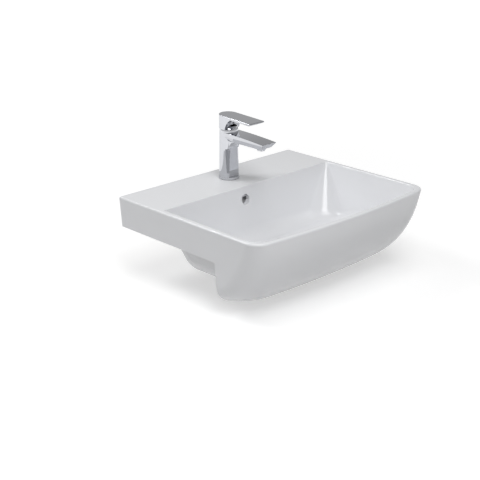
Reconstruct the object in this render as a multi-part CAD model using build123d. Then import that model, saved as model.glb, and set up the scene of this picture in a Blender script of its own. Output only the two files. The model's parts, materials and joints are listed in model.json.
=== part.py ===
from build123d import *
import math
import os

# Semi-recessed countertop washbasin with a single-lever mixer tap and a push-to-open waste.
# Millimetres. Origin: middle of the wall edge at counter-top level, +Z up, the front faces -Y.

# Basin, outside
basin_width = 550.0
basin_depth = 455.0
rim_height = 72.0
side_draft = 4.3
front_bow = 2250.0
skirt_drop = 117.0
front_upright = 15.0
skirt_side_round = 66.0
corner_round_top = 33.0
corner_round_low = 95.0
corner_growth = 0.7
form_sections = 9
counter_front = 310.0
rim_round = 4.0
lip_round = 3.0

# Basin, walls and hollows
bowl_wall = 11.0
skirt_wall = 11.0
skirt_ceiling = 4.0
deck_thickness = 12.0
back_wall = 12.0
deck_side_wall = 16.0
hollow_round = 14.0

# Bowl
rim_width = 13.0
front_rim_width = 12.0
ledge_depth = 142.0
bowl_depth = 122.0
bowl_side_fall = 30.0
bowl_back_fall = 26.0
bowl_front_fall = 38.0
bowl_back_round_top = 6.0
bowl_front_round_top = 36.0
bowl_back_round_low = 70.0
bowl_front_round_low = 85.0
bowl_floor_round = 34.0

# Overflow hole and its moulded duct
overflow_x = -22.0
overflow_drop = 30.0
overflow_r = 12.0
duct_width = 46.0
duct_depth = 10.0
duct_wall = 9.0
duct_head = 2.0
duct_side_room = 1.0
duct_overrun = 3.4
duct_cover = 1.0

# Wall fixing holes
fixing_spacing = 280.0
fixing_z = 36.0
fixing_bolt_r = 5.1
bush_wall = 2.0
bush_flange = 3.5
bush_flange_thickness = 3.0

# Tap, outside
tap_y = -70.0
tap_hole_r = 17.5
column_r_top = 22.4
column_r_foot = 23.3
column_flat = 16.5
column_round = 0.9
facet_top_distance = 20.4
facet_foot_distance = 22.6
facet_azimuth = 39.7
base_seal_thickness = 1.0
base_ring_height = 5.0
base_ring_lip = 0.8
base_ring_step = 0.3
base_seal_inset = 0.3
pivot_height = 114.0
shoulder_height = 6.4
cove_round = 19.5
spout_reach = 132.0
spout_half_width = 21.8
spout_under_half_width = 16.0
spout_under_height = 94.5
spout_root_height = 114.0
spout_tip_height = 108.0
spout_tip_low_height = 98.5
spout_tip_setback = 8.0
spout_under_setback = 12.8
spout_side_edge = 11.0
spout_crown = 1.4

# Aerator
aerator_reach = 106.0
aerator_r = 9.2
aerator_low_height = 88.0
aerator_seat_height = 97.5
aerator_boss_r = 12.4
aerator_boss_drop = 3.2
aerator_boss_taper = 1.2
aerator_wall = 1.4
aerator_washer_thickness = 1.5
jet_r = 0.9
jet_spacing = 2.34
jet_disc_thickness = 2.0
aerator_lip = 1.0
aerator_chamfer = 0.5
aerator_fit = 0.05
waterway_r = 4.0
waterway_height = 102.5

# Cartridge, measured down from the lever pivot
chamber_r = 17.5
chamber_depth = 28.0
cartridge_play = 0.2
cartridge_base_height = 3.0
fixed_disc_height = 3.5
moving_disc_height = 3.5
disc_carrier_height = 7.0
cartridge_bore_r = 14.2
fixed_disc_r = 14.0
disc_port_r = 1.7
disc_port_x = 5.5
disc_port_front = 4.5
disc_outlet_r = 2.7
moving_disc_pocket_r = 5.0
moving_disc_r = 8.8
ball_r = 3.0
ball_depth = 12.0
ball_clearance = 0.35
socket_floor_gap = 0.5
cartridge_shoulder_depth = 4.0
cartridge_roof = 2.8
cartridge_neck_r = 14.4
cartridge_neck_height = 7.5
carrier_r = 10.7
carrier_flange_r = 13.6
carrier_flange_height = 3.0
carrier_top = 4.0
running_gap = 0.1
stem_side = 7.6
stem_gap = 0.3
stem_height = 30.0
stem_neck_r = 2.4
stem_slot_front = 9.2
stem_slot_back = 7.0
pin_r = 1.5
pin_gap = 0.05
pin_end_gap = 1.0
nut_r = 19.4
nut_height = 7.0
nut_bore_r = 14.6
nut_slot_width = 4.0
nut_slot_depth = 2.0
cover_hole_r = 11.2
cover_wall = 1.5
cover_height = 13.0
cover_gap = 0.1
cover_brow_in = 1.9
cover_brow_drop = 3.2
cover_flat = 1.5
port_x = 6.5
port_front = 2.5
outlet_front = 9.0
port_r = 3.0
port_seal_r = 4.4
port_seal_height = 1.4

# Tap shank, inlets and fastening
shank_bore_r = 18.5
shank_front_wall = 3.0
partition_thickness = 16.0
inlet_x = 8.0
inlet_r = 4.5
inlet_length = 10.0
stud_r = 3.0
stud_y = 12.5
stud_boss_r = 6.3
stud_boss_height = 20.0
stud_bite = 16.0
stud_tail = 18.0
ring_bore_r = 16.5
plate_r = 26.0
plate_slot_half = 13.5
plate_slot_back = 5.5
gasket_thickness = 3.0
plate_thickness = 3.0
stud_nut_af = 10.0
stud_nut_height = 12.0
stud_play = 0.3

# Lever
lever_half_width = 23.2
lever_under_half_width = 20.5
lever_back_height = 154.5
lever_tip_height = 150.0
lever_reach = 90.0
lever_ridge = 2.5
lever_under_height = 147.0
lever_tip_low_height = 144.3
lever_side_edge = 1.0
lever_edge_round = 0.9
lever_side_chamfer = 0.8
lever_nose_rise = 0.5
cheek_low_height = 121.0
cheek_front = 10.0
scoop_mid_front = 14.5
scoop_mid_height = 133.0
scoop_top_front = 28.0
lever_gap = 0.4
hub_r = 12.5
hub_low_height = 124.0
socket_gap = 0.1
socket_top_height = 144.3
screw_height = 140.0
screw_r = 2.5
screw_length = 8.0
screw_key_af = 2.5
screw_key_depth = 3.0
plug_r = 3.4
plug_depth = 5.2
plug_thickness = 4.6

# Waste
waste_y = -262.0
waste_hole_r = 22.5
waste_boss_r = 40.0
waste_flange_r = 31.5
waste_flange_thickness = 3.0
waste_flange_round = 0.9
flange_proud = 1.0
flange_step_r = 28.0
flange_step = 1.3
top_washer_thickness = 1.5
recess_play = 1.0
waste_tube_r = 20.9
waste_tube_wall = 2.4
waste_length = 79.0
outlet_length = 25.0
outlet_groove_width = 2.0
outlet_groove_depth = 1.0
overflow_slot_width = 14.0
bottom_washer_height = 7.0
bottom_washer_r = 31.0
bottom_washer_taper = 5.0
washer_gap = 0.1
top_washer_inset = 0.5
slip_washer_thickness = 2.0
backnut_af = 56.0
backnut_height = 10.0
backnut_corner_r = 31.4
thread_gap = 0.05

# Push-to-open mechanism and its plug
barrel_r = 8.3
barrel_bore_r = 6.3
barrel_length = 26.0
barrel_floor = 2.0
barrel_flange_r = 10.3
barrel_flange_height = 2.0
barrel_top_drop = 28.0
rib_width = 4.0
rib_height = 5.0
rib_bite = 0.5
floor_window_gap = 1.0
piston_r = 6.2
piston_height = 8.0
rod_r = 3.0
click_cap_thickness = 2.0
rod_gap = 0.1
piston_gap = 0.1
plug_travel = 8.7
plug_cap_r = 30.5
plug_cap_height = 5.0
plug_cap_edge = 2.0
plug_hub_r = 7.0
plug_hub_height = 3.0
plug_seal_outer_r = 26.5
plug_seal_inner_r = 21.5
plug_seal_height = 1.0
closed_gap = 0.3
spring_wire_r = 0.5
spring_r = 4.8
spring_turns = 6

# Levels that follow
deck_under_z = rim_height - deck_thickness
floor_z = rim_height - bowl_depth
skirt_curve = rim_height + skirt_drop - front_upright
floor_under_z = floor_z - bowl_wall
duct_top_z = floor_under_z - duct_cover
duct_low_z = duct_top_z - duct_depth
boss_low_z = duct_low_z - duct_wall
overflow_z = rim_height - overflow_drop
ring_z = rim_height + base_seal_thickness
body_z = ring_z + base_ring_height
pivot_z = rim_height + pivot_height
chamber_z = pivot_z - chamber_depth
shoulder_z = pivot_z - cartridge_shoulder_depth
nut_top_z = shoulder_z + nut_height
flange_top_z = floor_z + flange_proud
flange_under_z = flange_top_z - waste_flange_thickness
barrel_top_z = flange_top_z - barrel_top_drop


def rod(r, z0, z1, x=0.0, y=0.0):
    """Upright cylinder from z0 to z1."""
    return Pos(x, y, (z0 + z1) / 2) * Cylinder(r, z1 - z0)


def ring(r_out, r_in, z0, z1, x=0.0, y=0.0):
    """Upright tube from z0 to z1."""
    return rod(r_out, z0, z1, x, y) - rod(r_in, z0 - 1, z1 + 1, x, y)


def block(x0, x1, y0, y1, z0, z1):
    """Box between two corners."""
    return Pos((x0 + x1) / 2, (y0 + y1) / 2, (z0 + z1) / 2) * Box(x1 - x0, y1 - y0, z1 - z0)


def hexagon(across_flats, z0, z1, x=0.0, y=0.0):
    """Upright hexagonal prism."""
    outline = RegularPolygon(across_flats / 2, 6, major_radius=False)
    return extrude(Pos(x, y, z0) * outline, amount=z1 - z0)


def bow_at(half):
    """How far the bowed front has fallen back at a distance from the middle."""
    return front_bow - math.sqrt(front_bow**2 - half**2)


def fall_back(z, radius, low):
    """How far a quarter round that ends at the low level has drawn in at a height."""
    below = max(0.0, low + radius - z)
    return radius - math.sqrt(max(0.0, radius**2 - below**2))


def outer_section(z, inset):
    """Plan of the basin's outside at one height, moved inwards by the inset."""
    low = -skirt_drop + inset
    draft = (rim_height - z) * math.tan(math.radians(side_draft))
    half = basin_width / 2 - inset - draft - fall_back(z, skirt_side_round - inset, low)
    front = -basin_depth + inset + fall_back(z, skirt_curve - inset, low)
    corner_y = front + bow_at(half)
    back = skirt_side_round
    sides = Polyline((-half, corner_y), (-half, back), (half, back), (half, corner_y))
    face = make_face(sides + ThreePointArc((half, corner_y), (0, front), (-half, corner_y)))
    fronts = face.vertices().group_by(Axis.Y)[0]
    depth_share = (rim_height - z) / (rim_height + skirt_drop)
    corner = corner_round_top + (corner_round_low - corner_round_top) * depth_share**corner_growth - inset
    return Pos(0, 0, z) * fillet(fronts, corner)


def outer_form(inset):
    """Pillow-shaped outside of the basin, whose corners grow softer towards the bottom."""
    radius = skirt_curve - inset
    centre_z = skirt_curve - skirt_drop
    turns = [math.pi / 2 * step / form_sections for step in range(form_sections + 1)]
    levels = [rim_height] + [centre_z - radius * math.sin(turn) for turn in turns]
    return loft([outer_section(z, inset).face() for z in levels])


def bowl_outline(z, half, back, front, back_round, front_round):
    """Plan of the bowl at one height, with a bowed front edge."""
    corner_y = -front + bow_at(half)
    sides = Polyline((-half, corner_y), (-half, -back), (half, -back), (half, corner_y))
    face = make_face(sides + ThreePointArc((half, corner_y), (0, -front), (-half, corner_y)))
    corners = face.vertices().group_by(Axis.Y)
    face = fillet(corners[-1], back_round)
    fronts = [v for v in face.vertices() if abs(v.Y - corner_y) < 0.01]
    return Pos(0, 0, z) * fillet(fronts, front_round)


def bowl_form(grow):
    """The bowl as a solid, grown outwards for the outside of its wall."""
    half = basin_width / 2 - rim_width
    front = basin_depth - front_rim_width
    top = bowl_outline(rim_height, half + grow, ledge_depth - grow, front + grow,
                       bowl_back_round_top + grow, bowl_front_round_top + grow)
    low = bowl_outline(floor_z - grow, half - bowl_side_fall + grow, ledge_depth + bowl_back_fall - grow,
                       front - bowl_front_fall + grow, bowl_back_round_low + grow,
                       bowl_front_round_low + grow)
    form = loft([top.face(), low.face()], ruled=True)
    return fillet(form.faces().sort_by(Axis.Z)[0].edges(), bowl_floor_round + grow)


def back_wall_y(z, grow=0.0):
    """Where the bowl's back wall stands at a height."""
    share = (rim_height - z) / (bowl_depth + grow)
    return -ledge_depth + grow - bowl_back_fall * share


def duct_form(wall):
    """Overflow passage down the back wall and under the floor to the waste."""
    top = overflow_z + overflow_r + duct_head
    duct_end_y = waste_y + waste_hole_r - duct_overrun
    outline = Polyline((back_wall_y(top, bowl_wall), top),
                       (back_wall_y(top, bowl_wall) + duct_depth, top),
                       (back_wall_y(duct_low_z, bowl_wall) + duct_depth, duct_low_z),
                       (duct_end_y, duct_low_z),
                       (duct_end_y, duct_top_z),
                       (back_wall_y(duct_top_z, bowl_wall), duct_top_z), close=True)
    face = make_face(outline)
    if wall:
        face = offset(face, wall)
    middle = overflow_x + duct_width / 2 - overflow_r - duct_side_room
    half = duct_width / 2 + wall
    return extrude(Plane.YZ.offset(middle - half) * face, amount=2 * half)


def make_basin():
    """Glazed ceramic basin: deck, bowl, skirt, overflow duct and all its holes."""
    past = 20.0
    far = 2 * basin_width
    body = outer_form(0.0) - block(-far, far, 0, far, -far, far)
    body -= block(-far, far, -counter_front, far, -far, 0)
    half_hollow = basin_width / 2 - deck_side_wall
    hollow_front = -ledge_depth - bowl_back_fall
    hollow = block(-half_hollow, half_hollow, hollow_front, -back_wall, -past, deck_under_z)
    body -= fillet(hollow.edges().filter_by(Axis.Z), hollow_round)
    behind_skirt = block(-far, far, -basin_depth, -counter_front + 1, -far, -skirt_ceiling)
    body -= outer_form(skirt_wall) & behind_skirt
    body += bowl_form(bowl_wall)
    body += duct_form(duct_wall)
    body += rod(waste_boss_r, boss_low_z, floor_z - 2, y=waste_y)
    body -= bowl_form(0.0)
    top = body.faces().filter_by(Axis.Z).group_by(Axis.Z)[-1].sort_by(SortBy.AREA)[-1]
    backs = [e for e in body.edges() if abs(e.center().Y) < 0.1 and abs(e.center().X) > basin_width / 4
             and e.bounding_box().size.Z > rim_height / 2]
    body = fillet(top.outer_wire().edges() + backs, rim_round)
    top = body.faces().filter_by(Axis.Z).group_by(Axis.Z)[-1].sort_by(SortBy.AREA)[-1]
    body = fillet(top.inner_wires()[0].edges(), lip_round)
    body -= duct_form(0.0)
    wall_y = back_wall_y(overflow_z)
    body -= Pos(overflow_x, wall_y + 1, overflow_z) * Rot(90, 0, 0) * Cylinder(overflow_r, 2 * bowl_wall)
    body -= rod(waste_hole_r, boss_low_z - 1, floor_z + 1, y=waste_y)
    recess_low = flange_under_z - top_washer_thickness
    body -= rod(waste_flange_r + recess_play, recess_low, floor_z + 1, y=waste_y)
    body -= rod(tap_hole_r, deck_under_z - 1, rim_height + 1, y=tap_y)
    for x in (-fixing_spacing / 2, fixing_spacing / 2):
        hole = Cylinder(fixing_bolt_r + bush_wall, 2 * back_wall)
        body -= Pos(x, -back_wall / 2, fixing_z) * Rot(90, 0, 0) * hole
    return body


def make_wall_bushes():
    """Plastic sleeves that keep the fixing bolts off the ceramic."""
    sleeve_r = fixing_bolt_r + bush_wall
    flange_r = sleeve_r + bush_flange
    bush = rod(sleeve_r, 0, back_wall) + rod(flange_r, back_wall, back_wall + bush_flange_thickness)
    bush -= rod(fixing_bolt_r, -1, back_wall + bush_flange_thickness + 1)
    bush = Rot(90, 0, 0) * bush
    return [Pos(x, 0, fixing_z) * bush for x in (-fixing_spacing / 2, fixing_spacing / 2)]


def at_tap(solid):
    """Move a piece modelled about the tap's axis to its place."""
    return Pos(0, tap_y, 0) * solid


def spout_profile():
    """Side view of the spout, from the tap's axis to the tip."""
    root = rim_height + spout_root_height
    tip = rim_height + spout_tip_height
    low = rim_height + spout_tip_low_height
    under = rim_height + spout_under_height
    cove_low = under - cove_round
    cove_end = -column_flat - cove_round
    top = ThreePointArc((0, root), (-spout_reach / 2, (root + tip) / 2 + spout_crown), (-spout_reach, tip))
    rest = Polyline((-spout_reach, tip), (-spout_reach + spout_tip_setback, low),
                    (-spout_reach + spout_under_setback, under), (cove_end, under), (cove_end, cove_low),
                    (0, cove_low), (0, root))
    return make_face(top + rest)


def make_tap_body():
    """Cast mixer body: faceted column, spout, cartridge chamber, shank and waterway."""
    under = rim_height + spout_under_height
    column = Pos(0, 0, (body_z + pivot_z) / 2) * Cone(column_r_foot, column_r_top, pivot_z - body_z)
    shoulder = Pos(0, 0, pivot_z) * Sphere(column_r_top)
    wide = 2 * column_r_foot
    shoulder &= block(-wide, wide, -wide, wide, pivot_z, pivot_z + shoulder_height)
    spout = extrude(Plane.YZ.offset(-spout_half_width) * spout_profile(), amount=2 * spout_half_width)
    edge_z = under + spout_side_edge
    above_z = pivot_z + spout_side_edge
    section = Polyline((-spout_half_width, 0, above_z), (-spout_half_width, 0, edge_z),
                       (-spout_under_half_width, 0, under), (-spout_under_half_width, 0, ring_z),
                       (spout_under_half_width, 0, ring_z), (spout_under_half_width, 0, under),
                       (spout_half_width, 0, edge_z), (spout_half_width, 0, above_z), close=True)
    spout &= extrude(make_face(section), amount=2 * spout_reach, dir=(0, -1, 0))
    body = column + shoulder + spout
    cove_low = under - cove_round
    flat = -column_flat
    front = flat - cove_round
    past_front = front - wide
    below = body_z - 1
    cove = make_face(Polyline((front, under), (past_front, under), (past_front, below), (flat, below),
                              (flat, cove_low)) + RadiusArc((flat, cove_low), (front, under), -cove_round))
    body -= extrude(Plane.YZ.offset(-wide) * cove, amount=2 * wide)
    lean = math.degrees(math.atan2(facet_foot_distance - facet_top_distance, cove_low - body_z))
    for side in (-1, 1):
        cut_front = -facet_foot_distance - wide
        cutter = block(-wide, wide, cut_front, -facet_foot_distance, -wide, cove_low - body_z)
        cutter = Pos(0, 0, body_z) * Rot(0, 0, side * facet_azimuth) * (
            Pos(0, -facet_foot_distance, 0) * Rot(-lean, 0, 0) * Pos(0, facet_foot_distance, 0) * cutter)
        body -= cutter
    boss_top = under + aerator_boss_drop
    boss_low = under - aerator_boss_drop
    boss = Cone(aerator_boss_r - aerator_boss_taper, aerator_boss_r, boss_top - boss_low)
    body += Pos(0, -aerator_reach, (boss_top + boss_low) / 2) * boss
    long_edges = [e for e in body.edges() if e.center().Y < -spout_reach * 0.6 and e.length > 15
                  and e.center().Z > under + 1]
    body = fillet(long_edges, column_round)
    chamber_top = shoulder_z
    body -= rod(chamber_r, chamber_z, chamber_top)
    body -= rod(nut_r + thread_gap, chamber_top, pivot_z + wide)
    shank_top = chamber_z - partition_thickness
    shank = rod(shank_bore_r, body_z - 1, shank_top)
    shank -= block(-wide, wide, -wide, -column_flat + shank_front_wall, 0, pivot_z)
    shank -= rod(stud_boss_r, body_z - 1, body_z + stud_boss_height, y=stud_y)
    body -= shank
    body -= rod(stud_r, body_z - 1, body_z + stud_bite, y=stud_y)
    for side in (-1, 1):
        body -= rod(inlet_r, shank_top - 1, shank_top + inlet_length, side * inlet_x)
        body -= rod(port_r, shank_top + inlet_length - 1, chamber_z + 1, side * port_x, -port_front)
    water_z = rim_height + waterway_height
    seat_z = rim_height + aerator_seat_height
    run = aerator_reach - chamber_r + waterway_r / 2
    body -= Pos(0, -aerator_reach + run / 2, water_z) * Rot(90, 0, 0) * Cylinder(waterway_r, run)
    body -= rod(waterway_r, seat_z - 1, water_z, y=-aerator_reach)
    body -= rod(aerator_r, boss_low - 1, seat_z, y=-aerator_reach)
    return at_tap(body)


def make_base_ring():
    """Chromed ring that spreads the column's foot on the deck."""
    foot = column_r_foot + base_ring_lip
    shape = Pos(0, 0, (ring_z + body_z) / 2) * Cone(foot, column_r_foot + base_ring_step, base_ring_height)
    return at_tap(shape - rod(ring_bore_r, ring_z - 1, body_z + 1))


def make_base_seal():
    """Rubber seal under the base ring."""
    return at_tap(ring(column_r_foot - base_seal_inset, ring_bore_r, rim_height, ring_z))


def port_places():
    """The cartridge's two inlets and its outlet, about the tap's axis."""
    return [(-port_x, -port_front), (port_x, -port_front), (0, -outlet_front)]


def make_cartridge_base():
    """Plastic foot of the cartridge, with grooves for the port seals."""
    top = chamber_z + cartridge_base_height
    base = rod(chamber_r - cartridge_play, chamber_z, top)
    for x, y in port_places():
        base -= rod(port_r, chamber_z - 1, top + 1, x, y)
    for x, y in port_places()[:2]:
        base -= rod(port_seal_r, chamber_z - 1, chamber_z + port_seal_height, x, y)
    groove_top = chamber_z + port_seal_height
    base -= block(-port_r, port_r, -chamber_r - 1, -outlet_front, chamber_z - 1, groove_top)
    return at_tap(base)


def make_port_seals():
    """Rubber rings between the cartridge and the body at the two inlets."""
    top = chamber_z + port_seal_height
    return [at_tap(ring(port_seal_r, port_r, chamber_z, top, x, y)) for x, y in port_places()[:2]]


def make_fixed_disc():
    """Ceramic disc with the three ports, fixed in the cartridge."""
    low = chamber_z + cartridge_base_height
    disc = rod(fixed_disc_r, low, low + fixed_disc_height)
    top = low + fixed_disc_height
    for side in (-1, 1):
        disc -= rod(disc_port_r, low - 1, top + 1, side * disc_port_x, -disc_port_front)
    disc -= rod(disc_outlet_r, low - 1, top + 1, y=-outlet_front)
    return at_tap(disc)


def make_moving_disc():
    """Ceramic disc that slides on the fixed one and opens the ports."""
    low = chamber_z + cartridge_base_height + fixed_disc_height
    disc = rod(moving_disc_r, low, low + moving_disc_height)
    disc -= rod(moving_disc_pocket_r, low - 1, low + 0.5 * moving_disc_height)
    return at_tap(disc)


def make_disc_carrier():
    """Plastic cap on the moving disc, with the socket for the stem's ball."""
    low = chamber_z + cartridge_base_height + fixed_disc_height + moving_disc_height
    ball_z = pivot_z - ball_depth
    carrier = rod(moving_disc_r, low, low + disc_carrier_height)
    socket_low = ball_z - ball_r - socket_floor_gap
    return at_tap(carrier - rod(ball_r + ball_clearance, socket_low, low + disc_carrier_height + 1))


def make_cartridge_body():
    """Plastic barrel of the cartridge, with its neck and the outlet groove."""
    low = chamber_z + cartridge_base_height
    neck_top = shoulder_z + cartridge_neck_height
    body = rod(chamber_r - cartridge_play, low, shoulder_z) + rod(cartridge_neck_r, shoulder_z, neck_top)
    body -= rod(cartridge_bore_r, low - 1, shoulder_z - cartridge_roof)
    body -= rod(carrier_r + running_gap, low, neck_top + 1)
    groove = (chamber_r + cartridge_bore_r) / 2
    top = rim_height + waterway_height + waterway_r
    body -= block(-port_r, port_r, -chamber_r - 1, -groove, low - 1, top)
    return at_tap(body)


def make_stem_carrier():
    """Plastic swivel that holds the stem's pin and turns in the neck."""
    flange_top = shoulder_z - cartridge_roof - running_gap
    top = pivot_z + carrier_top
    carrier = rod(carrier_flange_r, flange_top - carrier_flange_height, flange_top)
    carrier += rod(carrier_r, flange_top - 1, top)
    half = stem_side / 2 + stem_gap
    carrier -= block(-half, half, -stem_slot_front, stem_slot_back, flange_top - 5, top + 1)
    carrier -= Pos(0, 0, pivot_z) * Rot(0, 90, 0) * Cylinder(pin_r, 2 * carrier_r + 2)
    return at_tap(carrier)


def make_stem_pin():
    """Steel pin that the stem rocks on."""
    return at_tap(Pos(0, 0, pivot_z) * Rot(0, 90, 0) * Cylinder(pin_r, 2 * (carrier_r - pin_end_gap)))


def make_stem():
    """Stem that carries the lever above the pin and drives the disc below it."""
    half = stem_side / 2
    low = pivot_z - half
    stem = block(-half, half, -half, half, low, pivot_z + stem_height)
    stem += rod(stem_neck_r, pivot_z - ball_depth, low + 1)
    stem += Pos(0, 0, pivot_z - ball_depth) * Sphere(ball_r)
    stem -= Pos(0, 0, pivot_z) * Rot(0, 90, 0) * Cylinder(pin_r + pin_gap, stem_side + 2)
    return at_tap(stem)


def make_cartridge_nut():
    """Brass ring nut that clamps the cartridge's shoulder, with two key slots."""
    nut = ring(nut_r, nut_bore_r, shoulder_z, nut_top_z)
    half = nut_slot_width / 2
    slot_low = nut_top_z - nut_slot_depth
    nut -= block(-nut_r - 1, nut_r + 1, -half, half, slot_low, nut_top_z + 1)
    return at_tap(nut)


def make_cartridge_cover():
    """Chromed dome that hides the nut, open at the top for the stem."""
    top = pivot_z + cover_height
    outer_r = nut_r - cover_gap
    brim = pivot_z + shoulder_height

    def dome(shrink):
        side = Polyline((0, nut_top_z), (outer_r - shrink, nut_top_z), (outer_r - shrink, brim - shrink))
        brow = (outer_r - cover_brow_in - shrink, top - cover_brow_drop - shrink)
        arc_end = (cover_hole_r + cover_flat - shrink, top - shrink)
        arc = ThreePointArc((outer_r - shrink, brim - shrink), brow, arc_end)
        cap = Polyline(arc_end, (0, top - shrink), (0, nut_top_z))
        return revolve(Plane.XZ * make_face(side + arc + cap), Axis.Z)

    cover = dome(0.0) - dome(cover_wall) - rod(cover_hole_r, nut_top_z, top + 1)
    return at_tap(cover)


def lever_side():
    """Side view of the lever: blade, scoop and rear cheek in one outline."""
    back = rim_height + lever_back_height
    tip = rim_height + lever_tip_height
    under = rim_height + lever_under_height
    tip_low = rim_height + lever_tip_low_height
    cheek_low = rim_height + cheek_low_height
    past_back = lever_half_width + 1.0
    ridge = (-lever_reach - lever_ridge, (tip + tip_low) / 2 + lever_nose_rise)
    scoop = ThreePointArc((-cheek_front, cheek_low), (-scoop_mid_front, rim_height + scoop_mid_height),
                          (-scoop_top_front, under))
    rest = Polyline((-scoop_top_front, under), (-lever_reach + lever_ridge, tip_low), ridge,
                    (-lever_reach, tip), (past_back, back), (past_back, cheek_low),
                    (-cheek_front, cheek_low))
    return make_face(scoop + rest)


def make_lever():
    """Lever: flat blade, rear cheeks that wrap the cartridge and a hub on the stem."""
    back = rim_height + lever_back_height
    under = rim_height + lever_under_height
    tip_low = rim_height + lever_tip_low_height
    wide = 2 * lever_half_width
    plan = Circle(lever_half_width) + Pos(0, -lever_reach) * Rectangle(wide, 2 * lever_reach)
    lever = extrude(Plane.YZ.offset(-wide) * lever_side(), amount=2 * wide)
    lever &= extrude(Pos(0, 0, pivot_z) * plan, amount=back)
    side_z = under + lever_side_edge
    for side in (-1, 1):
        outer_x = side * (lever_half_width + lever_side_chamfer)
        inner_x = side * lever_under_half_width
        wedge = Polyline((outer_x, 0, side_z + lever_side_chamfer), (outer_x, 0, 0), (inner_x, 0, 0),
                         (inner_x, 0, tip_low - 1), close=True)
        cutter = extrude(make_face(wedge), amount=wide + lever_reach, dir=(0, -1, 0))
        lever -= Pos(0, -scoop_top_front, 0) * cutter
    top = lever.faces().filter_by(lambda f: f.normal_at().Z > 0.9).sort_by(Axis.Z)[-1]
    lever = fillet(top.outer_wire().edges(), lever_edge_round)
    bowl = Pos(0, 0, pivot_z) * Sphere(column_r_top + lever_gap)
    lever -= bowl
    lever += rod(hub_r, rim_height + hub_low_height, under + 1) - bowl
    half = stem_side / 2 + socket_gap
    lever -= block(-half, half, -half, half, pivot_z, rim_height + socket_top_height)
    screw_z = rim_height + screw_height
    lever -= Pos(0, lever_half_width / 2, screw_z) * Rot(90, 0, 0) * Cylinder(screw_r, lever_half_width + 2)
    seat = lever_half_width - plug_depth
    lever -= Pos(0, seat + plug_depth, screw_z) * Rot(90, 0, 0) * Cylinder(plug_r, 2 * plug_depth)
    return at_tap(lever)


def make_set_screw():
    """Grub screw that holds the lever on its stem, with a hexagon socket."""
    start = stem_side / 2
    screw_z = rim_height + screw_height
    screw = rod(screw_r, 0, screw_length)
    screw -= hexagon(screw_key_af, screw_length - screw_key_depth, screw_length + 1)
    return at_tap(Pos(0, start, screw_z) * Rot(-90, 0, 0) * screw)


def make_lever_plug():
    """Plain cap over the grub screw's hole."""
    screw_z = rim_height + screw_height
    start = lever_half_width - plug_depth
    plug = Pos(0, 0, plug_thickness / 2) * Cylinder(plug_r, plug_thickness)
    return at_tap(Pos(0, start, screw_z) * Rot(-90, 0, 0) * plug)


def make_aerator_shell():
    """Threaded chrome shell of the aerator."""
    low = rim_height + aerator_low_height
    top = rim_height + aerator_seat_height - aerator_washer_thickness
    shell = ring(aerator_r - thread_gap, aerator_r - aerator_wall, low, top)
    shell = chamfer(shell.edges().group_by(Axis.Z)[0].sort_by(SortBy.RADIUS)[-1:], aerator_chamfer)
    lip_r = aerator_r - aerator_wall + aerator_fit
    shell += ring(lip_r, aerator_r - 2 * aerator_wall, low, low + aerator_lip)
    return at_tap(Pos(0, -aerator_reach, 0) * shell)


def make_aerator_insert():
    """Plastic jet disc inside the aerator."""
    low = rim_height + aerator_low_height + aerator_lip
    top = rim_height + aerator_seat_height - aerator_washer_thickness
    disc_top = low + jet_disc_thickness
    insert = rod(aerator_r - aerator_wall - aerator_fit, low, top)
    insert -= rod(aerator_r - 2 * aerator_wall, disc_top, top + 1)
    jets = [(0.0, 0.0)] + [(n * jet_spacing, 60.0 * k + 30.0 * (n - 1)) for n in (1, 2) for k in range(6)]
    for distance, angle in jets:
        x = distance * math.cos(math.radians(angle))
        y = distance * math.sin(math.radians(angle))
        insert -= rod(jet_r, low - 1, disc_top + 1, x, y)
    return at_tap(Pos(0, -aerator_reach, 0) * insert)


def make_aerator_washer():
    """Rubber washer between the aerator and the spout."""
    top = rim_height + aerator_seat_height
    washer = ring(aerator_r - thread_gap, aerator_r - 2 * aerator_wall, top - aerator_washer_thickness, top)
    return at_tap(Pos(0, -aerator_reach, 0) * washer)


def stud_low_z():
    """Where the mounting stud ends below its nut."""
    return deck_under_z - gasket_thickness - plate_thickness - stud_nut_height - stud_tail


def make_stud():
    """Threaded stud that pulls the tap down on the deck."""
    return at_tap(rod(stud_r, stud_low_z(), body_z + stud_bite, y=stud_y))


def horseshoe(z0, z1, stud_hole_r):
    """Plate open at the front for the hoses, with a hole for the stud."""
    shape = rod(plate_r, z0, z1)
    shape -= block(-plate_slot_half, plate_slot_half, -plate_r - 1, plate_slot_back, z0 - 1, z1 + 1)
    return at_tap(shape - rod(stud_hole_r, z0 - 1, z1 + 1, y=stud_y))


def make_horseshoe_gasket():
    """Rubber horseshoe under the deck."""
    return horseshoe(deck_under_z - gasket_thickness, deck_under_z, stud_r + stud_play)


def make_horseshoe_plate():
    """Steel horseshoe under the gasket."""
    top = deck_under_z - gasket_thickness
    return horseshoe(top - plate_thickness, top, stud_r + stud_play)


def make_stud_nut():
    """Long hexagon nut on the stud."""
    top = deck_under_z - gasket_thickness - plate_thickness
    nut = hexagon(stud_nut_af, top - stud_nut_height, top) - rod(stud_r, top - stud_nut_height - 1, top + 1)
    return at_tap(Pos(0, stud_y, 0) * nut)


def at_waste(solid):
    """Move a piece modelled about the waste's axis to its place."""
    return Pos(0, waste_y, 0) * solid


def waste_low_z():
    """Lower end of the waste's threaded tube."""
    return flange_top_z - waste_length


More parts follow.
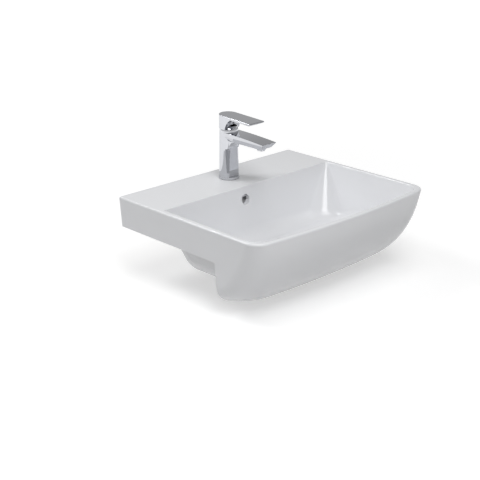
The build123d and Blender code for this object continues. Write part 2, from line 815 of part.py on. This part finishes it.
def make_waste_body():
    """Chromed waste: flange, threaded tube, overflow windows and the spider for the mechanism."""
    tube_bore = waste_tube_r - waste_tube_wall
    low = waste_low_z()
    body = rod(waste_flange_r, flange_under_z, flange_top_z) + rod(waste_tube_r, low, flange_under_z)
    body = fillet(body.edges().group_by(Axis.Z)[-1], waste_flange_round)
    body -= rod(flange_step_r, flange_top_z - flange_step, flange_top_z + 1)
    body -= rod(tube_bore, low - 1, flange_top_z + 1)
    groove_low = low + outlet_length
    groove_top = groove_low + outlet_groove_width
    body -= ring(waste_tube_r + 1, waste_tube_r - outlet_groove_depth, groove_low, groove_top)
    half = overflow_slot_width / 2
    window_low = duct_low_z + floor_window_gap
    body -= block(-half, half, -waste_tube_r - 1, waste_tube_r + 1, window_low, duct_top_z)
    rib_top = barrel_top_z - barrel_flange_height
    spider = rod(barrel_flange_r, rib_top - rib_height, rib_top)
    for angle in (0, 60, 120):
        reach = tube_bore + rib_bite
        spoke = block(-reach, reach, -rib_width / 2, rib_width / 2, rib_top - rib_height, rib_top)
        spider += Rot(0, 0, angle) * spoke
    spider -= rod(barrel_r, rib_top - rib_height - 1, rib_top + 1)
    return at_waste(body + spider)


def make_waste_top_washer():
    """Rubber washer in the floor's recess, under the flange."""
    low = flange_under_z - top_washer_thickness
    return at_waste(ring(waste_flange_r - top_washer_inset, waste_tube_r + washer_gap, low, flange_under_z))


def make_waste_bottom_washer():
    """Tapered rubber washer under the ceramic boss."""
    low = boss_low_z - bottom_washer_height
    shape = Pos(0, 0, (low + boss_low_z) / 2) * Cone(bottom_washer_r, bottom_washer_r - bottom_washer_taper,
                                                        bottom_washer_height)
    return at_waste(shape - rod(waste_tube_r + washer_gap, low - 1, boss_low_z + 1))


def make_waste_slip_washer():
    """Plastic washer that lets the backnut turn."""
    top = boss_low_z - bottom_washer_height
    return at_waste(ring(bottom_washer_r, waste_tube_r + washer_gap, top - slip_washer_thickness, top))


def make_waste_backnut():
    """Hexagon backnut that clamps the waste."""
    top = boss_low_z - bottom_washer_height - slip_washer_thickness
    low = top - backnut_height
    nut = hexagon(backnut_af, low, top) & rod(backnut_corner_r, low, top)
    return at_waste(nut - rod(waste_tube_r + thread_gap, low - 1, top + 1))


def make_click_barrel():
    """Plastic barrel of the push-to-open mechanism, held in the spider."""
    low = barrel_top_z - barrel_length
    barrel = rod(barrel_r, low, barrel_top_z)
    barrel += rod(barrel_flange_r, barrel_top_z - barrel_flange_height, barrel_top_z)
    return at_waste(barrel - rod(barrel_bore_r, low + barrel_floor, barrel_top_z + 1))


def make_click_cap():
    """Screwed cap that keeps the piston in its barrel."""
    top = barrel_top_z + click_cap_thickness
    return at_waste(ring(barrel_flange_r, rod_r + rod_gap, barrel_top_z, top))


def plug_under_z():
    """Underside of the raised plug."""
    return flange_top_z + closed_gap + plug_travel


def make_plug_rod():
    """Piston and rod that carry the plug."""
    top = barrel_top_z - piston_gap
    piston = rod(piston_r, top - piston_height, top)
    return at_waste(piston + rod(rod_r, top - 1, plug_under_z()))


def make_plug_cap():
    """Domed chrome plug with its hub."""
    low = plug_under_z()
    cap = rod(plug_cap_r, low, low + plug_cap_edge)
    rise = plug_cap_height - plug_cap_edge
    sphere_r = (plug_cap_r**2 + rise**2) / (2 * rise)
    dome = Pos(0, 0, low + plug_cap_height - sphere_r) * Sphere(sphere_r)
    cap += dome & rod(plug_cap_r, low + plug_cap_edge, low + plug_cap_height + 1)
    return at_waste(cap + ring(plug_hub_r, rod_r, low - plug_hub_height, low + 0.1))


def make_plug_seal():
    """Rubber ring under the plug."""
    top = plug_under_z()
    return at_waste(ring(plug_seal_outer_r, plug_seal_inner_r, top - plug_seal_height, top))


def make_plug_spring():
    """Spring that raises the plug."""
    low = barrel_top_z - barrel_length + barrel_floor
    top = barrel_top_z - piston_gap - piston_height
    height = top - low - 2 * spring_wire_r
    path = Helix(pitch=height / spring_turns, height=height, radius=spring_r)
    wire = Plane(origin=path @ 0, z_dir=path % 0) * Circle(spring_wire_r)
    coil = sweep(wire, path=path)
    return at_waste(Pos(0, 0, low + spring_wire_r) * coil)


makers = {
    "basin_body": make_basin,
    "wall_bushes": make_wall_bushes,
    "tap_body": make_tap_body,
    "tap_base_ring": make_base_ring,
    "tap_base_seal": make_base_seal,
    "cartridge_base": make_cartridge_base,
    "cartridge_port_seals": make_port_seals,
    "fixed_disc": make_fixed_disc,
    "moving_disc": make_moving_disc,
    "disc_carrier": make_disc_carrier,
    "cartridge_body": make_cartridge_body,
    "stem_carrier": make_stem_carrier,
    "stem_pin": make_stem_pin,
    "cartridge_stem": make_stem,
    "cartridge_nut": make_cartridge_nut,
    "cartridge_cover": make_cartridge_cover,
    "lever_handle": make_lever,
    "lever_set_screw": make_set_screw,
    "lever_plug": make_lever_plug,
    "aerator_shell": make_aerator_shell,
    "aerator_insert": make_aerator_insert,
    "aerator_washer": make_aerator_washer,
    "mounting_stud": make_stud,
    "horseshoe_gasket": make_horseshoe_gasket,
    "horseshoe_plate": make_horseshoe_plate,
    "stud_nut": make_stud_nut,
    "waste_body": make_waste_body,
    "waste_top_washer": make_waste_top_washer,
    "waste_bottom_washer": make_waste_bottom_washer,
    "waste_slip_washer": make_waste_slip_washer,
    "waste_backnut": make_waste_backnut,
    "click_barrel": make_click_barrel,
    "click_cap": make_click_cap,
    "plug_rod": make_plug_rod,
    "plug_cap": make_plug_cap,
    "plug_seal": make_plug_seal,
    "plug_spring": make_plug_spring,
}

os.makedirs("parts", exist_ok=True)
for node, maker in makers.items():
    made = maker()
    if isinstance(made, list):
        made = Compound(children=[solid for piece in made for solid in piece.solids()])
    export_step(made, f"parts/{node}.step")
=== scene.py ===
import bpy
import json
import math
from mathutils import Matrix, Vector


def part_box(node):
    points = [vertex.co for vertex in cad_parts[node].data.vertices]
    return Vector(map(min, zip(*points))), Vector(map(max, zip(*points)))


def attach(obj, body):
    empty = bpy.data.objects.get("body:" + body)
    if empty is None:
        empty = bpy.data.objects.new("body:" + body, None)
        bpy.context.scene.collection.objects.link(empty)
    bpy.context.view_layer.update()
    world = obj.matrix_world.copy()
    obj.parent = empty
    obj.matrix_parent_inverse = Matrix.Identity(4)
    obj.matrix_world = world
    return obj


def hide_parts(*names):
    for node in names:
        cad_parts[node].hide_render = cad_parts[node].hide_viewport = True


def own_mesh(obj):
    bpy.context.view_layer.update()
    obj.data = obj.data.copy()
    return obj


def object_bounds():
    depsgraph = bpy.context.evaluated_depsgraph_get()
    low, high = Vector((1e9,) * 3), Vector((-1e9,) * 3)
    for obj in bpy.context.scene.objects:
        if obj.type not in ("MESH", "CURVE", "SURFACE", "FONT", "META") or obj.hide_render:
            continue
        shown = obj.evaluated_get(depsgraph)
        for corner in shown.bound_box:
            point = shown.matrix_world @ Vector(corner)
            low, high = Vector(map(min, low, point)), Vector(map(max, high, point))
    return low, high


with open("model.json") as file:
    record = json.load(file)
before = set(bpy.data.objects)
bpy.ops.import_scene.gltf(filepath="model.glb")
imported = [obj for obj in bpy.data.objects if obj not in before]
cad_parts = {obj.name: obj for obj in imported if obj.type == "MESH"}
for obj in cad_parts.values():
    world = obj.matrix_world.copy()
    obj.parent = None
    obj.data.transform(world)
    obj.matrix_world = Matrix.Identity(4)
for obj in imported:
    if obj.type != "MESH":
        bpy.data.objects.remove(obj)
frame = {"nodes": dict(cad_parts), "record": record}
cad_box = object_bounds()

# All lengths in metres, all powers in watts

# Camera, from a least-squares fit of the basin's corners to the photograph
image_side = 480
camera_azimuth = -44.0
camera_elevation = 20.76
camera_distance = 2.4573
camera_focal_pixels = 1108.8
camera_target = Vector((-0.1187, -0.230, -0.0108))
sensor_width = 36.0

# Floor and light
floor_half_side = 30.0
floor_drop = 0.0005
floor_tone = 0.70
floor_glow_near = 0.50
floor_glow_far = 0.95
floor_fade_start = 0.6
floor_fade_end = 3.0
world_ambient = 0.20
horizon_glow = 1.0
horizon_mirrored = 0.68
ceiling_glow = 0.40
ceiling_start = 0.10
ceiling_end = 0.38

# Lamps: name, place, side and power
lamp_aim = Vector((0.0, -0.23, 0.05))
lamps = (
    ("top_light", (-0.2, -0.8, 2.6), 1.2, 16.0),
    ("back_light", (-1.2, 1.4, 2.0), 1.0, 25.0),
    ("front_light", (-0.95, -1.8, 2.1), 1.2, 28.0),
)

# Bare ceramic: its depth at the wall, half its band at the counter, and the normal of a face that looks down
bare_depth = 0.0009
seat_band = 0.0006
seat_facing = -0.98

# Threads shown on the tap's stud and on the waste's tube. Their ridge is given in shares of the pitch.
stud_pitch = 0.001
waste_pitch = 0.00231
thread_bite = 0.0002
thread_height = 0.55
thread_root = 0.44
thread_crest = 0.1
thread_steps = 40
thread_fade = 4.0
waste_thread_radius = 0.0209
waste_thread_length = 0.025

# Spring under the plug
spring_wire_radius = 0.0005
spring_turns = 6
spring_steps = 36
spring_sides = 12


def material(name):
    """New node material with its shader and its object coordinates."""
    made = bpy.data.materials.new(name)
    made.use_nodes = True
    nodes = made.node_tree.nodes
    shader = nodes["Principled BSDF"]
    place = nodes.new("ShaderNodeTexCoord").outputs["Object"]
    return made, nodes, made.node_tree.links, shader, place


def noise(nodes, links, place, scale, detail=3.0, roughness=0.5):
    """Noise factor at a scale in 1/m."""
    made = nodes.new("ShaderNodeTexNoise")
    made.inputs["Scale"].default_value = scale
    made.inputs["Detail"].default_value = detail
    made.inputs["Roughness"].default_value = roughness
    links.new(place, made.inputs["Vector"])
    return made.outputs["Fac"]


def spread(nodes, links, factor, low, high, start=0.3, end=0.7):
    """Maps a factor to a range of values."""
    made = nodes.new("ShaderNodeMapRange")
    made.inputs["From Min"].default_value = start
    made.inputs["From Max"].default_value = end
    made.inputs["To Min"].default_value = low
    made.inputs["To Max"].default_value = high
    links.new(factor, made.inputs["Value"])
    return made.outputs["Result"]


def tint(nodes, links, factor, first, second):
    """Mixes two colours by a factor."""
    made = nodes.new("ShaderNodeMix")
    made.data_type = "RGBA"
    links.new(factor, made.inputs["Factor"])
    made.inputs["A"].default_value = (*first, 1)
    made.inputs["B"].default_value = (*second, 1)
    return made.outputs["Result"]


def bump(nodes, links, height, depth, before=None):
    """Bump of a depth in metres, on top of an earlier one."""
    made = nodes.new("ShaderNodeBump")
    made.inputs["Strength"].default_value = 1.0
    made.inputs["Distance"].default_value = depth
    links.new(height, made.inputs["Height"])
    if before is not None:
        links.new(before, made.inputs["Normal"])
    return made.outputs["Normal"]


def compare(nodes, links, value, operation, limit):
    """1 where the value is beyond the limit."""
    made = nodes.new("ShaderNodeMath")
    made.operation = operation
    links.new(value, made.inputs[0])
    made.inputs[1].default_value = limit
    return made.outputs[0]


def combine(nodes, links, first, operation, second):
    """Joins two values."""
    made = nodes.new("ShaderNodeMath")
    made.operation = operation
    links.new(first, made.inputs[0])
    links.new(second, made.inputs[1])
    return made.outputs[0]


def glaze():
    """White glazed fireclay, left bare where it was ground flat for the wall and the counter."""
    made, nodes, links, shader, place = material("glaze")
    parts = nodes.new("ShaderNodeSeparateXYZ")
    links.new(place, parts.inputs[0])
    wavy = noise(nodes, links, place, 900.0, 2.0)
    edge = spread(nodes, links, wavy, -seat_band, seat_band, 0.2, 0.8)
    depth = combine(nodes, links, parts.outputs["Y"], "ADD", edge)
    at_wall = compare(nodes, links, depth, "GREATER_THAN", -bare_depth)
    facing = nodes.new("ShaderNodeNewGeometry")
    turned = nodes.new("ShaderNodeSeparateXYZ")
    links.new(facing.outputs["Normal"], turned.inputs[0])
    down = compare(nodes, links, turned.outputs["Z"], "LESS_THAN", seat_facing)
    low = compare(nodes, links, parts.outputs["Z"], "LESS_THAN", seat_band)
    high = compare(nodes, links, parts.outputs["Z"], "GREATER_THAN", -seat_band)
    seat = combine(nodes, links, combine(nodes, links, down, "MULTIPLY", low), "MULTIPLY", high)
    bare = combine(nodes, links, at_wall, "MAXIMUM", seat)
    cloud = noise(nodes, links, place, 14.0, 4.0)
    white = tint(nodes, links, cloud, (0.825, 0.832, 0.852), (0.845, 0.852, 0.872))
    speck = noise(nodes, links, place, 1600.0, 2.0)
    clay = tint(nodes, links, speck, (0.60, 0.555, 0.48), (0.74, 0.70, 0.64))
    colour = nodes.new("ShaderNodeMix")
    colour.data_type = "RGBA"
    links.new(bare, colour.inputs["Factor"])
    links.new(white, colour.inputs["A"])
    links.new(clay, colour.inputs["B"])
    links.new(colour.outputs["Result"], shader.inputs["Base Color"])
    gloss = spread(nodes, links, noise(nodes, links, place, 40.0, 4.0), 0.05, 0.10)
    rough = nodes.new("ShaderNodeMix")
    links.new(bare, rough.inputs["Factor"])
    links.new(gloss, rough.inputs["A"])
    rough.inputs["B"].default_value = 0.85
    links.new(rough.outputs["Result"], shader.inputs["Roughness"])
    swell = bump(nodes, links, noise(nodes, links, place, 26.0, 1.0), 0.00012)
    peel = bump(nodes, links, noise(nodes, links, place, 420.0, 2.0), 0.000006, swell)
    links.new(peel, shader.inputs["Normal"])
    return made


def plated(name, colour, low, high):
    """Polished chrome plate with faint wiping marks."""
    made, nodes, links, shader, place = material(name)
    shader.inputs["Metallic"].default_value = 1.0
    marks = noise(nodes, links, place, 160.0, 5.0, 0.6)
    darker = tuple(0.93 * part for part in colour)
    links.new(tint(nodes, links, marks, darker, colour), shader.inputs["Base Color"])
    links.new(spread(nodes, links, marks, low, high), shader.inputs["Roughness"])
    wave = bump(nodes, links, noise(nodes, links, place, 90.0, 1.0), 0.00001)
    links.new(wave, shader.inputs["Normal"])
    return made


def turned_metal(name, colour, low, high):
    """Machined metal with fine tool marks round its axis."""
    made, nodes, links, shader, place = material(name)
    shader.inputs["Metallic"].default_value = 1.0
    stretch = nodes.new("ShaderNodeMapping")
    stretch.inputs["Scale"].default_value = (0.08, 0.08, 1.0)
    links.new(place, stretch.inputs["Vector"])
    lines = noise(nodes, links, stretch.outputs["Vector"], 4000.0, 3.0, 0.6)
    stain = noise(nodes, links, place, 120.0, 4.0)
    darker = tuple(0.78 * part for part in colour)
    links.new(tint(nodes, links, stain, darker, colour), shader.inputs["Base Color"])
    links.new(spread(nodes, links, stain, low, high), shader.inputs["Roughness"])
    links.new(bump(nodes, links, lines, 0.00002), shader.inputs["Normal"])
    return made


def moulded(name, colour, low, high, grain, depth):
    """Moulded plastic, rubber or pressed ceramic with a fine grain."""
    made, nodes, links, shader, place = material(name)
    patch = noise(nodes, links, place, 180.0, 4.0)
    darker = tuple(0.88 * part for part in colour)
    links.new(tint(nodes, links, patch, darker, colour), shader.inputs["Base Color"])
    links.new(spread(nodes, links, patch, low, high), shader.inputs["Roughness"])
    links.new(bump(nodes, links, noise(nodes, links, place, grain, 2.0), depth), shader.inputs["Normal"])
    return made


def make_finishes():
    """One material for each slot of the record."""
    return {
        "glaze": glaze(),
        "tap_chrome": plated("tap_chrome", (0.61, 0.62, 0.65), 0.03, 0.07),
        "waste_chrome": plated("waste_chrome", (0.60, 0.61, 0.63), 0.05, 0.10),
        "plain_brass": turned_metal("plain_brass", (0.78, 0.60, 0.33), 0.26, 0.42),
        "plain_steel": turned_metal("plain_steel", (0.60, 0.61, 0.63), 0.24, 0.40),
        "disc_ceramic": moulded("disc_ceramic", (0.86, 0.84, 0.79), 0.20, 0.32, 2500.0, 0.000004),
        "grey_plastic": moulded("grey_plastic", (0.36, 0.37, 0.39), 0.38, 0.52, 3000.0, 0.00002),
        "white_plastic": moulded("white_plastic", (0.80, 0.80, 0.78), 0.36, 0.50, 3000.0, 0.00002),
        "black_rubber": moulded("black_rubber", (0.035, 0.035, 0.038), 0.62, 0.78, 2200.0, 0.00004),
    }


def dress_nodes(finishes):
    """Gives every node of the frame the material of its slot."""
    for part in frame["record"]["subparts"]:
        mesh = frame["nodes"][part["node"]].data
        mesh.materials.clear()
        mesh.materials.append(finishes[part["material_slot"]])


def mesh_piece(name, points, faces, finish, body, smooth=True):
    """New mesh piece that rides on a body."""
    mesh = bpy.data.meshes.new(name)
    mesh.from_pydata(points, [], faces)
    mesh.update()
    for face in mesh.polygons:
        face.use_smooth = smooth
    mesh.materials.append(finish)
    piece = bpy.data.objects.new(name, mesh)
    bpy.context.scene.collection.objects.link(piece)
    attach(piece, body)
    return piece


def swept_faces(count, sides):
    """Faces of a profile that is swept through a count of steps, with both ends closed."""
    faces = []
    for step in range(count):
        base = sides * step
        for side in range(sides):
            after = (side + 1) % sides
            faces.append((base + side, base + after, base + sides + after, base + sides + side))
    faces.append(tuple(reversed(range(sides))))
    faces.append(tuple(sides * count + side for side in range(sides)))
    return faces


def thread(name, centre, radius, low, high, pitch, finish):
    """Helical thread ridge round an upright rod."""
    height = thread_height * pitch
    half = thread_root * pitch
    crest = thread_crest * pitch
    profile = ((-thread_bite, -half), (height, -crest), (height, crest), (-thread_bite, half))
    turns = (high - low - 2 * half) / pitch
    count = int(turns * thread_steps)
    points = []
    for step in range(count + 1):
        angle = 2 * math.pi * step / thread_steps
        outward = Vector((math.cos(angle), math.sin(angle), 0))
        middle = Vector((centre.x, centre.y, low + half + pitch * step / thread_steps))
        fade = min(1.0, thread_fade * step / thread_steps, thread_fade * (count - step) / thread_steps)
        for out, along in profile:
            reach = radius + (out if out < 0 else out * fade)
            points.append(middle + reach * outward + Vector((0, 0, along)))
    faces = swept_faces(count, len(profile))
    mesh_piece(name, points, faces, finish, "basin", smooth=False)


def make_threads(finishes):
    """Threads of the tap's stud below its nut and of the waste's tube."""
    low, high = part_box("mounting_stud")
    nut_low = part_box("stud_nut")[0]
    centre = (low + high) / 2
    radius = (high.x - low.x) / 2
    steel = finishes["plain_steel"]
    thread("stud_thread", centre, radius, low.z, nut_low.z, stud_pitch, steel)
    low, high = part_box("waste_body")
    centre = (low + high) / 2
    top = low.z + waste_thread_length
    chrome = finishes["waste_chrome"]
    thread("waste_thread", centre, waste_thread_radius, low.z, top, waste_pitch, chrome)


def make_spring(finishes):
    """Coiled wire spring under the plug, shown in place of the hidden plug_spring node."""
    low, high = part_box("plug_spring")
    centre = (low + high) / 2
    coil = (high.x - low.x) / 2 - spring_wire_radius
    start = low.z + spring_wire_radius
    height = high.z - spring_wire_radius - start
    rise = height / (2 * math.pi * spring_turns * coil)
    count = spring_turns * spring_steps
    points = []
    for step in range(count + 1):
        angle = 2 * math.pi * step / spring_steps
        out = Vector((math.cos(angle), math.sin(angle), 0))
        along = Vector((-math.sin(angle), math.cos(angle), rise)).normalized()
        across = along.cross(out)
        middle = Vector((centre.x, centre.y, start + height * step / count)) + coil * out
        for side in range(spring_sides):
            turn = 2 * math.pi * side / spring_sides
            points.append(middle + spring_wire_radius * (math.cos(turn) * out + math.sin(turn) * across))
    faces = swept_faces(count, spring_sides)
    spring = mesh_piece("plug_spring_coil", points, faces, finishes["plain_steel"], "basin")
    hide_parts("plug_spring")
    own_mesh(spring)


def shader_mix(nodes, links, factor, first, second):
    """Mixes two shaders by a factor."""
    made = nodes.new("ShaderNodeMixShader")
    links.new(factor, made.inputs["Fac"])
    links.new(first, made.inputs[1])
    links.new(second, made.inputs[2])
    return made.outputs[0]


def seen_directly(nodes, links):
    """1 for rays of the camera, of reflections and of glass."""
    path = nodes.new("ShaderNodeLightPath")
    first = combine(nodes, links, path.outputs["Is Camera Ray"], "MAXIMUM", path.outputs["Is Glossy Ray"])
    return combine(nodes, links, first, "MAXIMUM", path.outputs["Is Transmission Ray"])


def make_floor():
    """Pale floor that meets the background without a line and keeps the shadow."""
    level = cad_box[0].z - floor_drop
    side = floor_half_side
    mesh = bpy.data.meshes.new("floor")
    mesh.from_pydata([(-side, -side, level), (side, -side, level), (side, side, level), (-side, side, level)],
                     [], [(0, 1, 2, 3)])
    floor = bpy.data.objects.new("floor", mesh)
    bpy.context.scene.collection.objects.link(floor)
    made = bpy.data.materials.new("floor")
    made.use_nodes = True
    nodes = made.node_tree.nodes
    links = made.node_tree.links
    nodes.remove(nodes["Principled BSDF"])
    matt = nodes.new("ShaderNodeBsdfDiffuse")
    matt.inputs["Color"].default_value = (floor_tone, floor_tone, floor_tone, 1)
    glow = nodes.new("ShaderNodeEmission")
    place = nodes.new("ShaderNodeTexCoord").outputs["Object"]
    distance = nodes.new("ShaderNodeVectorMath")
    distance.operation = "LENGTH"
    links.new(place, distance.inputs[0])
    strength = spread(nodes, links, distance.outputs["Value"], floor_glow_near, floor_glow_far,
                      floor_fade_start, floor_fade_end)
    links.new(strength, glow.inputs["Strength"])
    both = nodes.new("ShaderNodeAddShader")
    links.new(matt.outputs[0], both.inputs[0])
    links.new(glow.outputs[0], both.inputs[1])
    seen = seen_directly(nodes, links)
    mixed = shader_mix(nodes, links, seen, matt.outputs[0], both.outputs[0])
    links.new(mixed, nodes["Material Output"].inputs["Surface"])
    mesh.materials.append(made)


def make_world():
    """White surroundings with a dimmer ceiling for reflections, and an even ambient light."""
    world = bpy.data.worlds.new("studio")
    bpy.context.scene.world = world
    world.use_nodes = True
    nodes = world.node_tree.nodes
    links = world.node_tree.links
    ambient = nodes["Background"]
    ambient.inputs["Strength"].default_value = world_ambient
    ambient.inputs["Color"].default_value = (1, 1, 1, 1)
    direction = nodes.new("ShaderNodeTexCoord").outputs["Generated"]
    parts = nodes.new("ShaderNodeSeparateXYZ")
    links.new(direction, parts.inputs[0])
    glow = spread(nodes, links, parts.outputs["Z"], horizon_mirrored, ceiling_glow,
                  ceiling_start, ceiling_end)
    mirrored = nodes.new("ShaderNodeBackground")
    mirrored.inputs["Color"].default_value = (1, 1, 1, 1)
    links.new(glow, mirrored.inputs["Strength"])
    plain = nodes.new("ShaderNodeBackground")
    plain.inputs["Color"].default_value = (1, 1, 1, 1)
    plain.inputs["Strength"].default_value = horizon_glow
    path = nodes.new("ShaderNodeLightPath")
    glass = path.outputs["Is Transmission Ray"]
    shiny = combine(nodes, links, path.outputs["Is Glossy Ray"], "MAXIMUM", glass)
    first = shader_mix(nodes, links, shiny, ambient.outputs[0], mirrored.outputs[0])
    second = shader_mix(nodes, links, path.outputs["Is Camera Ray"], first, plain.outputs[0])
    links.new(second, nodes["World Output"].inputs["Surface"])


def softbox(name, place, size, watts):
    """Square area light aimed at the bowl."""
    data = bpy.data.lights.new(name, "AREA")
    data.shape = "SQUARE"
    data.size = size
    data.energy = watts
    lamp = bpy.data.objects.new(name, data)
    lamp.location = place
    lamp.rotation_euler = (lamp_aim - Vector(place)).to_track_quat("-Z", "Y").to_euler()
    bpy.context.scene.collection.objects.link(lamp)


def make_camera():
    """Camera at the photograph's viewing angle."""
    azimuth = math.radians(camera_azimuth)
    elevation = math.radians(camera_elevation)
    level = math.cos(elevation)
    back = Vector((math.sin(azimuth) * level, -math.cos(azimuth) * level, math.sin(elevation)))
    data = bpy.data.cameras.new("camera")
    data.sensor_width = sensor_width
    data.lens = sensor_width * camera_focal_pixels / image_side
    data.clip_end = 4 * floor_half_side
    camera = bpy.data.objects.new("camera", data)
    camera.location = camera_target + back * camera_distance
    camera.rotation_euler = (-back).to_track_quat("-Z", "Y").to_euler()
    bpy.context.scene.collection.objects.link(camera)
    bpy.context.scene.camera = camera


make_camera()
finishes = make_finishes()
dress_nodes(finishes)
make_threads(finishes)
make_spring(finishes)
make_floor()
make_world()
for lamp in lamps:
    softbox(*lamp)

bpy.context.scene.view_settings.view_transform = "Standard"
